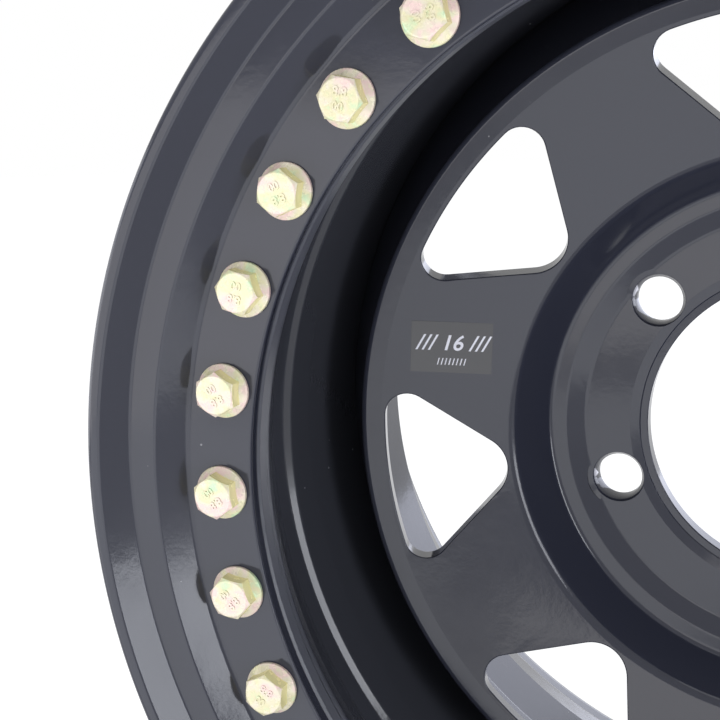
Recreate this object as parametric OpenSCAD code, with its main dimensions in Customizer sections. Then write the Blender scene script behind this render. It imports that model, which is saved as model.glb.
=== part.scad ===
// Beadlock wheel: a steel drop-centre rim with a pressed eight-window disc,
// a welded bead ring and a bolted outer clamp ring.
// The origin is the centre of the hub mounting face. The wheel turns about Y
// and its street side faces -Y. Sections are drawn as radius and height, where
// height is measured from the hub mounting face towards the street side.

/* [Rim] */
// Diameter of the tyre bead seats
seat_d = 405.6; // [396:0.2:408]
// Outside diameter over both tyre flanges
outer_d = 440; // [434:1:450]
// Width between the two bead faces
rim_w = 221.6; // [205:0.1:250]
// Thickness of the rolled rim sheet
rim_t = 4; // [3:0.5:4.5]
// Inside diameter of the well where the disc sits
well_d = 354; // [350:1:358]
// Height of the rear end of the straight well below the hub face
well_rear = 34; // [32:1:46]
// Inside diameter of the neck that carries the bead ring
neck_d = 336.6; // [334:0.2:338]
// Length of the neck in front of its bend
neck_l = 5; // [4.4:0.2:5.6]
// Width of the neck's flare
flare_w = 4.2; // [3.6:0.1:4.8]
// Depth of the flare's end, measured back from the neck end
flare_drop = 15.5; // [14:0.5:17]
// Height of the front shoulder of the well, measured back from the neck end
shoulder_drop = 20.5; // [18:0.5:23]
// Length of the swollen front end of the well
swell_l = 25.5; // [22:0.5:30]
// Rise of the rear slope over its foot
slope_w = 9.6; // [8:0.2:11]
// Length of the rear slope
slope_l = 38; // [34:1:40]
// Drop of the rear bead seat at its inner end
seat_drop = 1.9; // [1.2:0.1:2.4]
// Rise of the rear safety hump above the seat's inner end
hump_h = 0.9; // [0.5:0.1:1.4]
// Length of the rear bead seat
rear_seat_l = 22; // [19:0.5:26]
// Length of the curl behind the rear flange
rear_curl = 7; // [4:0.5:10]
// Valve hole diameter
valve_d = 11.5; // [8.5:0.1:16]
// Height of the valve hole above the hub mounting face
valve_h = 50; // [40:1:56]
// Angle of the valve hole
valve_a = -30; // [-60:1:30]

/* [Disc] */
// Thickness of the pressed disc
disc_t = 8; // [6:0.5:9]
// Centre bore diameter
bore_d = 111.5; // [106:0.1:113]
// Outer diameter of the dished edge round the bore
dish_d = 124.6; // [118:0.2:127]
// Depth of the dished edge at the bore
dish_h = 1.5; // [0.6:0.1:2.4]
// Diameter of the flat hub face
hub_d = 158; // [156:1:165]
// Diameter over the raised land round the hub
land_d = 184; // [181:0.5:187]
// Width of the raised land
land_w = 6; // [4:0.5:8]
// Rise of the land above the hub face
land_h = 3; // [1:0.5:5]
// Diameter where the spoke cone starts
cone_in_d = 204; // [201:0.5:207]
// Height of the cone's inner edge
cone_in_h = 28; // [24:0.5:31]
// Outer diameter of the crest
crest_d = 314; // [306:0.4:314]
// Width of the flat crest
crest_w = 7.2; // [5:0.2:9]
// Height of the crest
crest_h = 42.5; // [38:0.5:46]
// Bend radius at the foot of the land
hub_bend = 4; // [2:0.5:5]
// Bend radius of the land's two edges
land_bend = 3; // [2:0.5:4]
// Bend radius where the spokes leave the wall
cone_bend = 6; // [4:0.5:8]
// Bend radius of the crest
crest_bend = 4.5; // [4:0.5:8]
// Bend radius where the outer wall meets the well
wall_bend = 10; // [6:0.5:12]
// Height where the outer wall meets the well, below the hub face
flange_top = 1; // [0:0.5:5]
// Length of the flange that lies in the well
flange_l = 29; // [24:1:31]

/* [Stud holes] */
// Number of wheel studs
stud_n = 6; // [4:1:6]
// Pitch circle diameter of the wheel studs
stud_pcd = 139.7; // [136:0.1:142]
// Diameter of each stud hole
stud_d = 17; // [12:0.1:18]
// Diameter of the nut cone at the front of each stud hole
stud_cone_d = 19.6; // [18.5:0.1:21]
// Angle of the first stud hole
stud_a = 17.2; // [0:0.1:59]

/* [Windows] */
// Number of windows
win_n = 8; // [6:1:8]
// Radius of the windows' outer edge
win_out_r = 148.5; // [144:0.5:150.5]
// Radius at which the two straight sides would meet
win_apex_r = 99.3; // [96:0.1:104]
// Angle between a side and the window's centre line
win_side_a = 41.35; // [34:0.05:42]
// Radius of the rounded inner corner
win_in_fillet = 13; // [12:0.5:18]
// Radius of the two outer corners
win_out_fillet = 8; // [6:0.5:11]
// Angle of the first window
win_a = 6.57; // [0:0.01:44]

/* [Bead ring] */
// Height of the bead ring's front face
ring_h = 112; // [108:0.5:116]
// Thickness of the bead ring
ring_t = 12; // [11:0.5:13]
// Inside diameter of the bead ring
ring_in_d = 334; // [332.5:0.1:334.6]
// Depth of the shoulder above the neck
ring_shoulder = 6; // [5:0.5:7]
// Clearance of the front bead seat under the tyre
seat_gap = 0.4; // [0.2:0.1:0.8]
// Diameter of the front face
ring_face_d = 382; // [378:1:386]
// Height of the taper from the front face to the seat
ring_taper_h = 4.5; // [3:0.5:6]
// Diameter over the bead flange
ring_flange_d = 434; // [428:1:436]
// Thickness of the bead flange
ring_flange_t = 8; // [6:0.5:9]
// Inside diameter of the bead flange
ring_flange_in_d = 380; // [374:1:386]

/* [Clamp ring] */
// Inside diameter of the clamp ring
clamp_in_d = 331; // [328:0.5:333]
// Thickness of the clamp ring
clamp_t = 6.5; // [5:0.5:8]
// Outer diameter of the bolt flat
clamp_flat_d = 379.6; // [376:0.4:382]
// Rise of the outer step above the bolt flat
clamp_step_h = 8.1; // [6.5:0.1:9.5]
// Width of the flat face on the outer step
clamp_face_w = 9.3; // [7:0.1:10.4]
// Rise of the lip above the outer step
clamp_lip_h = 8.6; // [7:0.2:10]
// Width of the lip's top
clamp_lip_w = 5; // [3.6:0.2:6]

/* [Clamp bolts] */
// Number of clamp bolts
bolt_n = 32; // [16:1:32]
// Pitch circle diameter of the clamp bolts
bolt_pcd = 354.9; // [353:0.1:356]
// Shank diameter
bolt_d = 8; // [6:0.5:8.5]
// Diameter of the clearance holes in the clamp ring
bolt_hole_d = 9; // [8.8:0.1:10.5]
// Radial play in the tapped holes
thread_play = 0.05; // [0.02:0.01:0.1]
// Shank length under the head
bolt_l = 18; // [14:0.5:18]
// Width across the flats of the head
head_af = 13; // [11:0.5:14]
// Height of the head over its seat
head_h = 7.6; // [6:0.1:9]
// Diameter of the head's flange
head_flange_d = 18; // [16.5:0.5:19]
// Thickness of the flange's rim
head_rim = 1.2; // [0.8:0.1:2]

/* [Welds and label] */
// Width of the bead on the inside of the neck
inner_weld_w = 1.6; // [1:0.1:2.2]
// Leg of the fillet behind the bead ring
outer_weld_w = 6; // [4:0.5:8]
// Leg of the fillet behind the disc
disc_weld_w = 6; // [4:0.5:7]
// Length of the label along the spoke
label_l = 28; // [20:0.5:32]
// Width of the label
label_w = 19.5; // [14:0.5:21]
// Thickness of the label film
label_t = 0.2; // [0.1:0.05:0.4]
// Radius of the label's corners
label_r = 2.2; // [1:0.1:4]
// Radius at the middle of the label
label_at = 126; // [120:0.5:130]
// Angle of the spoke that carries the label
label_a = 164.3; // [160:0.1:168]

/* [Hidden] */
$fn = 96;

seat_r = seat_d / 2;
outer_r = outer_d / 2;
well_r = well_d / 2;
neck_r = neck_d / 2;
bolt_r = bolt_d / 2;
bolt_step = 360 / bolt_n;

// Heights that several pieces share
neck_top = ring_h - ring_shoulder;
ring_back = ring_h - ring_t;
shoulder_h = neck_top - shoulder_drop;
front_face = ring_h + clamp_step_h;
rear_face = front_face - rim_w;
seat_back = rear_face + rear_seat_l;
clamp_face = ring_h + clamp_t;
step_face = clamp_face + clamp_step_h;
lip_top = step_face + clamp_lip_h;

// Direction of segment i of a line, and the same turned left
function way(p, i) =
    let (d = [p[i + 1][0] - p[i][0], p[i + 1][1] - p[i][1]]) d / norm(d);
function left(v) = [-v[1], v[0]];
function span(p, i) = norm([p[i + 1][0] - p[i][0], p[i + 1][1] - p[i][1]]);

// One corner [x, y, radius] of a line as points on its fillet; the radius is
// limited so that a fillet never takes more than half of either neighbour
function corner(p, i, n) =
    (i == 0 || i == len(p) - 1 || p[i][2] <= 0) ? [[p[i][0], p[i][1]]] :
    let (
        a = way(p, i - 1),
        b = way(p, i),
        c = max(-1, min(1, a * b)),
        phi = acos(c),
        k = sign(cross(a, b)),
        room = 0.49 * min(span(p, i - 1), span(p, i)),
        r = min(p[i][2], room / max(0.001, tan(phi / 2))),
        t = r * tan(phi / 2),
        s = [p[i][0], p[i][1]] - a * t,
        m = s + left(a) * (r * k)
    )
    phi < 0.5 ? [[p[i][0], p[i][1]]] :
    [for (j = [0:n])
        let (q = k * phi * j / n, d = s - m)
        m + [d[0] * cos(q) - d[1] * sin(q), d[0] * sin(q) + d[1] * cos(q)]];
function rounded(p, n = 6) = [for (i = [0:len(p) - 1]) each corner(p, i, n)];

// A line moved sideways to its left by d, with its corner radii adjusted
function moved(p, d) = [for (i = [0:len(p) - 1])
    let (
        last = len(p) - 1,
        a = way(p, max(0, i - 1)),
        b = way(p, min(last - 1, i)),
        k = (i == 0 || i == last) ? 0 : sign(cross(a, b)),
        m = (left(a) + left(b)) * (d / (1 + a * b))
    )
    [p[i][0] + m[0], p[i][1] + m[1], p[i][2] > 0 ? max(0.05, p[i][2] - k * d) : 0]];

function reversed(p) = [for (i = [len(p) - 1:-1:0]) p[i]];

// Section of a sheet whose one side is the line p and whose thickness is d
function sheet(p, d, n = 6) = concat(rounded(p, n), reversed(rounded(moved(p, d), n)));

// Face of the spoke cone at radius r
cone_slope = (crest_h - cone_in_h) / (crest_d / 2 - crest_w - cone_in_d / 2);
function cone_height(r) = cone_in_h + (r - cone_in_d / 2) * cone_slope;

// Outside of the rim sheet between the neck and the first bend
function neck_out(h) =
    let (
        a = [neck_r, neck_top - neck_l],
        b = [neck_r + flare_w, neck_top - flare_drop],
        u = (b - a) / norm(b - a),
        s = a + left(u) * rim_t
    )
    s[0] + (h - s[1]) * u[0] / u[1];

// Turns a section drawn in radius and height about the wheel's axis
module ring_of(section) {
    rotate_extrude() polygon(section);
}

// Puts a shape whose height runs along +Z into the wheel's own frame
module in_frame() {
    rotate([90, 0, 0]) children();
}

disc_line = [
    [bore_d / 2 + 0.01, disc_t, 0],
    [hub_d / 2, disc_t, hub_bend],
    [land_d / 2 - land_w, disc_t + land_h, land_bend],
    [land_d / 2, disc_t + land_h, land_bend],
    [cone_in_d / 2, cone_in_h, cone_bend],
    [crest_d / 2 - crest_w, crest_h, crest_bend],
    [crest_d / 2, crest_h, crest_bend],
    [well_r, -flange_top, wall_bend],
    [well_r, -flange_top - flange_l, 0]
];

barrel_line = [
    [neck_r, neck_top, 0],
    [neck_r, neck_top - neck_l, 5],
    [neck_r + flare_w, neck_top - flare_drop, 1.5],
    [well_r + 0.6, shoulder_h, 3],
    [well_r + 1.4, shoulder_h - 16.5, 12],
    [well_r, shoulder_h - swell_l, 10],
    [well_r, -well_rear, 20],
    [well_r + slope_w, -well_rear - slope_l, 6],
    [seat_r - rim_t - seat_drop + hump_h, seat_back + 3, 4],
    [seat_r - rim_t - seat_drop, seat_back - 4, 5],
    [seat_r - rim_t, rear_face - rim_t, 10],
    [outer_r - rim_t, rear_face - rim_t, 2.5],
    [outer_r - rim_t, rear_face - rim_t - rear_curl, 0]
];

// Outline of one window, symmetric about the x axis
function window_side() =
    let (
        a = win_side_a,
        e = win_out_fillet,
        d = [cos(a), sin(a)],
        f = win_apex_r + e / sin(a),
        q = f * d[0],
        s = -q + sqrt(q * q - f * f + pow(win_out_r - e, 2)),
        m = [f, 0] + d * s,
        top = atan2(m[1], m[0]),
        g = win_in_fillet,
        v = win_apex_r + g / sin(a)
    )
    concat(
        [for (j = [0:6]) let (w = 180 - (90 - a) * j / 6) [v + g * cos(w), g * sin(w)]],
        [for (j = [0:8]) let (w = (90 + a) + (top - 90 - a) * j / 8) m + e * [cos(w), sin(w)]],
        [for (j = [1:6]) let (w = top * (1 - j / 6)) win_out_r * [cos(w), sin(w)]]
    );
function window_outline() =
    let (h = window_side(), n = len(h))
    concat(h, [for (i = [n - 2:-1:1]) [h[i][0], -h[i][1]]]);

module windows() {
    for (i = [0:win_n - 1])
        rotate(win_a + i * 360 / win_n)
            linear_extrude(height = crest_h + disc_t)
                polygon(window_outline());
}

module stud_holes() {
    cone_l = (stud_cone_d - stud_d) / 2 / tan(30);
    for (i = [0:stud_n - 1])
        rotate(stud_a + i * 360 / stud_n) translate([stud_pcd / 2, 0, 0]) {
            translate([0, 0, -disc_t]) cylinder(h = 3 * disc_t, d = stud_d);
            translate([0, 0, disc_t - cone_l])
                cylinder(h = 2 * cone_l, d1 = stud_d, d2 = 2 * stud_cone_d - stud_d);
        }
}

module wheel_disc() {
    color([0.10, 0.10, 0.115]) in_frame() difference() {
        ring_of(sheet(disc_line, -disc_t));
        translate([0, 0, -disc_t]) cylinder(h = 3 * disc_t, d = bore_d);
        // dished edge round the bore
        ring_of([
            [bore_d / 2 - dish_h, disc_t - dish_h],
            [bore_d / 2, disc_t - dish_h],
            [dish_d / 2, disc_t],
            [dish_d / 2, disc_t + dish_h],
            [bore_d / 2 - dish_h, disc_t + dish_h]
        ]);
        windows();
        stud_holes();
    }
}

module rim_barrel() {
    color([0.09, 0.09, 0.105]) in_frame() difference() {
        ring_of(sheet(barrel_line, rim_t));
        rotate(valve_a) translate([well_r - valve_d, 0, valve_h])
            rotate([0, 90, 0]) cylinder(h = rim_t + 2 * valve_d, d = valve_d);
    }
}

module bolt_holes(d, low, high) {
    for (i = [0:bolt_n - 1])
        rotate(i * bolt_step) translate([bolt_pcd / 2, 0, low])
            cylinder(h = high - low, d = d);
}

module bead_ring() {
    flange_r = ring_flange_d / 2;
    flange_back = ring_back - ring_flange_t;
    ring_seat_r = seat_r - seat_gap;
    section = rounded([
        [ring_in_d / 2, neck_top, 0],
        [ring_in_d / 2, ring_h, 0.6],
        [ring_face_d / 2, ring_h, 1],
        [ring_seat_r, ring_h - ring_taper_h, 2],
        [ring_seat_r, ring_back, 3],
        [flange_r - 4, ring_back, 3],
        [flange_r, ring_back - ring_flange_t * 0.7, 1],
        [flange_r, flange_back, 0.8],
        [ring_flange_in_d / 2, flange_back, 0.8],
        [ring_flange_in_d / 2, ring_back, 0],
        [neck_out(ring_back) + 1.5, ring_back, 0],
        [neck_r + rim_t, neck_top - neck_l + 1.5, 0],
        [neck_r + rim_t, neck_top, 0]
    ]);
    color([0.08, 0.08, 0.09]) in_frame() difference() {
        ring_of(section);
        bolt_holes(bolt_d + 2 * thread_play, ring_back - 1, ring_h + 1);
    }
}

module clamp_ring() {
    flat_r = clamp_flat_d / 2;
    lean = clamp_step_h;
    face_r = flat_r + lean + clamp_face_w;
    section = rounded([
        [clamp_in_d / 2, (ring_h + clamp_face) / 2, 0],
        [clamp_in_d / 2, clamp_face, 2],
        [flat_r, clamp_face, 3],
        [flat_r + lean, step_face, 1.5],
        [face_r, step_face, 1.5],
        [outer_r - clamp_lip_w - 1, lip_top - 0.2, 1.5],
        [outer_r - 2, lip_top, 2.5],
        [outer_r, lip_top - 4.7, 2],
        [outer_r, front_face + 6, 3],
        [outer_r - clamp_t, front_face, 3],
        [flat_r + lean + 0.4 * clamp_t, front_face, 2],
        [flat_r + 0.4 * clamp_t, ring_h, 3],
        [clamp_in_d / 2, ring_h, 0.8],
        [clamp_in_d / 2, (ring_h + clamp_face) / 2, 0]
    ]);
    color([0.11, 0.11, 0.12]) in_frame() difference() {
        ring_of([for (i = [0:len(section) - 2]) section[i]]);
        bolt_holes(bolt_hole_d, ring_h - 1, clamp_face + 1);
    }
}

// One hexagon bolt with a flange under its head, seated at height 0
module flange_bolt() {
    flange_r = head_flange_d / 2;
    across = head_af / cos(30);
    rotate_extrude() polygon([
        [0, -bolt_l], [bolt_r - 0.8, -bolt_l], [bolt_r, -bolt_l + 0.8], [bolt_r, 0],
        [flange_r - 0.3, 0], [flange_r, 0.3], [flange_r, head_rim - 0.2],
        [flange_r - 0.3, head_rim], [head_af / 2, head_rim + 1.6], [0, head_rim + 1.6]
    ]);
    intersection() {
        translate([0, 0, 0.5]) cylinder(h = head_h - 0.5, d = across, $fn = 6);
        rotate_extrude() polygon([
            [0, 0.2], [across / 2 + 0.4, 0.2], [across / 2 + 0.4, head_h - 1],
            [head_af / 2 - 0.2, head_h], [0, head_h]
        ]);
    }
}

// Each head stopped at its own angle when it was tightened
function head_turn(i) = 47 * i + 11 * sin(131 * i);

module clamp_bolts() {
    color([0.85, 0.80, 0.62]) in_frame()
        for (i = [0:bolt_n - 1])
            rotate(i * bolt_step) translate([bolt_pcd / 2, 0, clamp_face])
                rotate(head_turn(i)) flange_bolt();
}

module ring_weld() {
    foot = neck_out(ring_back);
    low = ring_back - outer_weld_w;
    color([0.14, 0.14, 0.15]) in_frame() {
        // bead on the inside, in the corner between the neck and the shoulder
        ring_of([
            [neck_r, neck_top],
            [neck_r, neck_top - inner_weld_w],
            [neck_r - (neck_r - ring_in_d / 2) * 0.6, neck_top - inner_weld_w * 0.75],
            [ring_in_d / 2, neck_top]
        ]);
        // fillet behind the bead ring, against the outside of the neck
        ring_of([
            [foot, ring_back],
            [foot + outer_weld_w, ring_back],
            [foot + outer_weld_w * 0.72, ring_back - outer_weld_w * 0.45],
            [neck_out(low), low]
        ]);
    }
}

module disc_weld() {
    low = -flange_top - flange_l;
    color([0.10, 0.10, 0.11]) in_frame() ring_of([
        [well_r, low],
        [well_r - disc_weld_w, low],
        [well_r - disc_weld_w * 0.62, low - disc_weld_w * 0.42],
        [well_r, low - min(disc_weld_w, well_rear - flange_top - flange_l)]
    ]);
}

// Thin film that follows the cone of its spoke
module spoke_label() {
    r0 = label_at;
    base = cone_height(r0 - label_l);
    top = cone_height(r0 + label_l);
    color([0.05, 0.05, 0.06]) in_frame() intersection() {
        ring_of([
            [r0 - label_l, base], [r0 + label_l, top],
            [r0 + label_l, top + label_t], [r0 - label_l, base + label_t]
        ]);
        rotate(label_a) translate([r0 - label_l / 2, -label_w / 2, 0])
            linear_extrude(height = crest_h + disc_t)
                polygon([for (c = [
                    [label_r, label_r, 180], [label_l - label_r, label_r, 270],
                    [label_l - label_r, label_w - label_r, 0], [label_r, label_w - label_r, 90]
                ]) each [for (j = [0:5]) let (w = c[2] + j * 18)
                    [c[0] + label_r * cos(w), c[1] + label_r * sin(w)]]]);
    }
}

wheel_disc();
rim_barrel();
bead_ring();
clamp_ring();
clamp_bolts();
ring_weld();
disc_weld();
spoke_label();
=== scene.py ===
"""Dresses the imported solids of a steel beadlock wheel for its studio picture.

The wheel keeps the frame of its solids: the origin is the centre of the hub
mounting face, the axle runs along Y and the street side faces -Y. Sections are
written as radius and height in millimetres, where height is measured from the
hub mounting face towards the street side, so a point of a section lies at
(radius, -height) in the XY plane before it is spun about Y.
"""

from __future__ import annotations

import logging
import math
from dataclasses import dataclass
from enum import Enum
from typing import Iterable, Sequence

import bmesh
import bpy
from mathutils import Matrix, Vector, noise

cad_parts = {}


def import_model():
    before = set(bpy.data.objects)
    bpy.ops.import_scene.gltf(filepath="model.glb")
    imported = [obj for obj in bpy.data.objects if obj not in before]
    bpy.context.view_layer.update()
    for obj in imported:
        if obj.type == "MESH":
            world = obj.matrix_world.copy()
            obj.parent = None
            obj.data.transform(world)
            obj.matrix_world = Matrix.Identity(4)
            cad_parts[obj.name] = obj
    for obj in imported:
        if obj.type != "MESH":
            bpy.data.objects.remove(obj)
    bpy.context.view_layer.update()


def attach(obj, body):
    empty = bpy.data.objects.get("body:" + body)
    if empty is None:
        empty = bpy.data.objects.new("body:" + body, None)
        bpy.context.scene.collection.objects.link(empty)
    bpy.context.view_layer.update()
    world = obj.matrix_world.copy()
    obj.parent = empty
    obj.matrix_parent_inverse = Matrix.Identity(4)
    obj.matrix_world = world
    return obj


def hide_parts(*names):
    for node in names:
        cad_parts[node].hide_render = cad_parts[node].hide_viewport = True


log = logging.getLogger("beadlock_wheel")

MM = 0.001
# A bend below this angle, in radians, stays a plain corner.
STRAIGHT = 0.009
# The share of a side that one fillet may take.
FILLET_ROOM = 0.49
# Points of a spun section closer than this, in millimetres, become one.
MERGE = 0.002
Corner = tuple[float, float, float]
Point = tuple[float, float]
Piece = bpy.types.Object
Paint = bpy.types.Material
Tree = bpy.types.NodeTree
Node = bpy.types.Node
Socket = bpy.types.NodeSocket


class Finish(Enum):
    """Names of the record's finish slots."""

    COAT = "black_coat"
    ZINC = "yellow_zinc"
    WELD = "weld_coat"
    FILM = "label_film"


def deselect_all() -> None:
    """Leaves object mode with nothing selected."""
    if bpy.context.object is not None and bpy.context.object.mode != "OBJECT":
        bpy.ops.object.mode_set(mode="OBJECT")
    bpy.ops.object.select_all(action="DESELECT")


def activate(obj: Piece) -> None:
    """Makes one object the only selected and the active one."""
    deselect_all()
    obj.select_set(True)
    bpy.context.view_layer.objects.active = obj


def heading(a: Sequence[float], b: Sequence[float]) -> Vector:
    """Gives the unit direction from one section point to the next."""
    return (Vector((b[0], b[1])) - Vector((a[0], a[1]))).normalized()


def fillet(line: Sequence[Corner], steps: int = 6) -> list[Point]:
    """Rounds the corners of a section line.

    Args:
        line: Corners as radius, height and fillet radius, in millimetres.
        steps: How many straight pieces make one fillet.

    Returns:
        The points of the rounded line.
    """
    out: list[Point] = [(line[0][0], line[0][1])]
    for before, here, after in zip(line, line[1:], line[2:]):
        a, b = heading(before, here), heading(here, after)
        turn = math.atan2(a.x * b.y - a.y * b.x, a.dot(b))
        corner = Vector((here[0], here[1]))
        if here[2] <= 0 or abs(turn) < STRAIGHT:
            out.append((corner.x, corner.y))
            continue
        room = FILLET_ROOM * min(
            (corner - Vector(before[:2])).length, (Vector(after[:2]) - corner).length
        )
        half = math.tan(abs(turn) / 2)
        radius = min(here[2], room / half)
        side = math.copysign(1, turn)
        start = corner - a * (radius * half)
        middle = start + Vector((-a.y, a.x)) * (radius * side)
        arm = start - middle
        for j in range(steps + 1):
            q = turn * j / steps
            c, s = math.cos(q), math.sin(q)
            out.append(
                (middle.x + arm.x * c - arm.y * s, middle.y + arm.x * s + arm.y * c)
            )
    out.append((line[-1][0], line[-1][1]))
    return out


def beside(line: Sequence[Corner], gap: float) -> list[Corner]:
    """Moves a section line sideways to its left, keeping its bends concentric.

    Args:
        line: Corners as radius, height and fillet radius.
        gap: Distance to the left, negative for the right.

    Returns:
        The corners of the moved line.
    """
    out: list[Corner] = []
    last = len(line) - 1
    for i, here in enumerate(line):
        a = heading(line[max(0, i - 1)], line[max(1, i)])
        b = heading(line[min(last - 1, i)], line[min(last, i + 1)])
        turn = a.x * b.y - a.y * b.x
        side = 0 if i in (0, last) else (turn > 0) - (turn < 0)
        k = gap / (1 + a.dot(b))
        x = here[0] - (a.y + b.y) * k
        y = here[1] + (a.x + b.x) * k
        out.append((x, y, max(0.05, here[2] - side * gap) if here[2] > 0 else 0))
    return out


def sheet(line: Sequence[Corner], gap: float, steps: int = 6) -> list[Point]:
    """Gives the closed section of a sheet whose one side is the line."""
    return fillet(line, steps) + fillet(beside(line, gap), steps)[::-1]


def lathe(
    name: str,
    section: Sequence[Point],
    steps: int = 240,
    centre: Point = (0.0, 0.0),
    closed: bool = True,
) -> Piece:
    """Draws a section with extruded vertices and spins it about an axis along Y.

    Args:
        name: Name of the new piece.
        section: Radius and height of each point, in millimetres.
        steps: How many steps make the full turn.
        centre: Place of the axis in X and Z, in millimetres.
        closed: Whether the section is a loop.

    Returns:
        The spun piece, with its object at the origin.
    """
    deselect_all()
    points = [Vector(((centre[0] + r) * MM, -h * MM, centre[1] * MM)) for r, h in section]
    if closed:
        points.append(points[0].copy())
    bpy.ops.mesh.primitive_plane_add(size=MM, location=points[0])
    obj = bpy.context.active_object
    obj.name = name
    apply_all()
    bpy.ops.object.mode_set(mode="EDIT")
    bpy.ops.mesh.select_all(action="SELECT")
    bpy.ops.mesh.merge(type="CENTER")
    for here, there in zip(points, points[1:]):
        bpy.ops.mesh.extrude_region_move(TRANSFORM_OT_translate={"value": there - here})
    bpy.ops.mesh.select_all(action="SELECT")
    bpy.ops.mesh.spin(
        steps=steps,
        angle=2 * math.pi,
        center=(centre[0] * MM, 0, centre[1] * MM),
        axis=(0, 1, 0),
    )
    bpy.ops.mesh.select_all(action="SELECT")
    bpy.ops.mesh.remove_doubles(threshold=MERGE * MM)
    bpy.ops.mesh.normals_make_consistent(inside=False)
    bpy.ops.object.mode_set(mode="OBJECT")
    return obj


def apply_all() -> None:
    """Applies the active object's place, turn and scale."""
    bpy.ops.object.transform_apply(location=True, rotation=True, scale=True)


def cylinder(
    radius: float, depth: float, spot: Corner, turn: tuple[float, float, float], sides: int
) -> Piece:
    """Adds a straight cylinder, sized in millimetres.

    Args:
        radius: Its radius, or half the width across corners.
        depth: Its length.
        spot: X, height and Z of its middle.
        turn: Its rotation.
        sides: How many sides it has.

    Returns:
        The cylinder, with its object at the origin.
    """
    deselect_all()
    bpy.ops.mesh.primitive_cylinder_add(
        vertices=sides,
        radius=radius * MM,
        depth=depth * MM,
        location=(spot[0] * MM, -spot[1] * MM, spot[2] * MM),
        rotation=turn,
    )
    made = bpy.context.active_object
    apply_all()
    return made


def raised_word(
    body: str, size: float, extrude: float, steps: int, shear: float, frame: Matrix
) -> Piece:
    """Turns a centred word into a mesh.

    Args:
        body: The characters.
        size: Size of the type, in millimetres.
        extrude: Half the word's thickness, in millimetres.
        steps: How finely its curves are divided.
        shear: Slant of the type.
        frame: Place of the word.

    Returns:
        The word's mesh.
    """
    deselect_all()
    bpy.ops.object.text_add()
    data = bpy.context.active_object.data
    data.body = body
    data.size = size * MM
    data.shear = shear
    data.extrude = extrude * MM
    data.offset = 0.1 * MM
    data.resolution_u = steps
    data.align_x = "CENTER"
    bpy.ops.object.convert(target="MESH")
    word = bpy.context.active_object
    word.matrix_world = frame
    apply_all()
    return word


def cut(piece: Piece, tools: Iterable[Piece], keep: str = "DIFFERENCE") -> None:
    """Applies boolean modifiers with the given tools, and deletes the tools.

    Args:
        piece: The mesh that is cut.
        tools: The closed meshes that cut it.
        keep: DIFFERENCE, UNION or INTERSECT.
    """
    for tool in tools:
        activate(piece)
        modifier = piece.modifiers.new("cut", "BOOLEAN")
        modifier.operation = keep
        modifier.solver = "EXACT"
        modifier.object = tool
        bpy.ops.object.modifier_apply(modifier=modifier.name)
        bpy.data.objects.remove(tool, do_unlink=True)


def join(pieces: Sequence[Piece], name: str) -> Piece:
    """Joins pieces into the first one and names it."""
    deselect_all()
    for obj in pieces:
        obj.select_set(True)
    bpy.context.view_layer.objects.active = pieces[0]
    if len(pieces) > 1:
        bpy.ops.object.join()
    joined = bpy.context.active_object
    joined.name = name
    return joined


def smooth(piece: Piece, angle: float = 32.0, weighted: bool = True) -> None:
    """Shades a piece smooth up to an angle, with its large faces kept flat."""
    activate(piece)
    bpy.ops.object.shade_smooth_by_angle(angle=math.radians(angle))
    if weighted:
        modifier = piece.modifiers.new("flat faces", "WEIGHTED_NORMAL")
        modifier.mode = "FACE_AREA"
        modifier.weight = 50
        modifier.keep_sharp = True
        bpy.ops.object.modifier_apply(modifier=modifier.name)


def place(piece: Piece, finish: Finish, *nodes: str) -> Piece:
    """Lets a piece ride on the wheel and what it stands for."""
    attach(piece, "root")
    if nodes:
        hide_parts(*nodes)
    return piece


@dataclass(frozen=True)
class Sizes:
    """Sizes that several sub-assemblies share, in millimetres."""

    seat_r: float = 202.8
    outer_r: float = 220.0
    rim_w: float = 221.6
    rim_t: float = 4.0
    well_r: float = 177.0
    well_rear: float = 34.0
    neck_r: float = 168.3
    neck_l: float = 5.0
    ring_h: float = 112.0
    ring_t: float = 12.0
    ring_shoulder: float = 6.0
    clamp_t: float = 6.5
    clamp_step_h: float = 8.1
    bolt_pcd: float = 354.9
    bolt_n: int = 32

    @property
    def neck_top(self) -> float:
        """Height of the neck's end, under the bead ring's shoulder."""
        return self.ring_h - self.ring_shoulder

    @property
    def ring_back(self) -> float:
        """Height of the bead ring's back face."""
        return self.ring_h - self.ring_t

    @property
    def front_face(self) -> float:
        """Height of the clamp ring's bead face."""
        return self.ring_h + self.clamp_step_h

    @property
    def rear_face(self) -> float:
        """Height of the rear flange's bead face."""
        return self.front_face - self.rim_w

    @property
    def clamp_face(self) -> float:
        """Height of the bolt flat."""
        return self.ring_h + self.clamp_t

    def neck_out(self, height: float) -> float:
        """Gives the radius of the rim sheet's outside behind the neck."""
        a = Vector((self.neck_r, self.neck_top - self.neck_l))
        b = Vector((self.neck_r + 4.2, self.neck_top - 15.5))
        u = (b - a).normalized()
        s = a + Vector((-u.y, u.x)) * self.rim_t
        return s.x + (height - s.y) * u.x / u.y


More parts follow.
